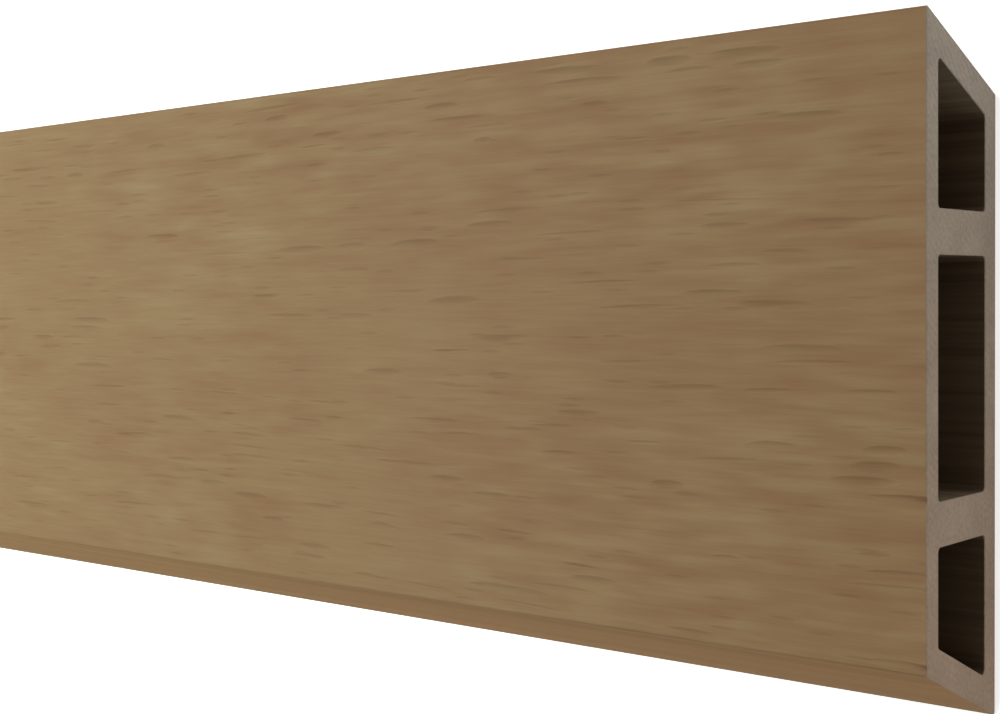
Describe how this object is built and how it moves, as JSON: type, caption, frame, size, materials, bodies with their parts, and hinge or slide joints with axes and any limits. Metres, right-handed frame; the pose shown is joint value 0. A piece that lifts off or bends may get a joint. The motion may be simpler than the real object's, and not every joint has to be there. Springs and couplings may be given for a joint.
{
  "type": "composite fence board",
  "caption": "Long hollow composite board with raked long edges, chambers running its whole length and a wood-grained face, fixed across posts or rails to make a fence.",
  "frame": {"origin": "centre of the board's footprint, on the surface that its back face lies on", "axes": "+X along the board's length, +Y towards the edge that is uppermost on a fence, +Z out of the grained front face"},
  "size_m": [1.8, 0.1106, 0.025],
  "materials": {
    "composite": "matte"
  },
  "bodies": {
    "root": {"fence_board": "composite"}
  },
  "joints": []
}
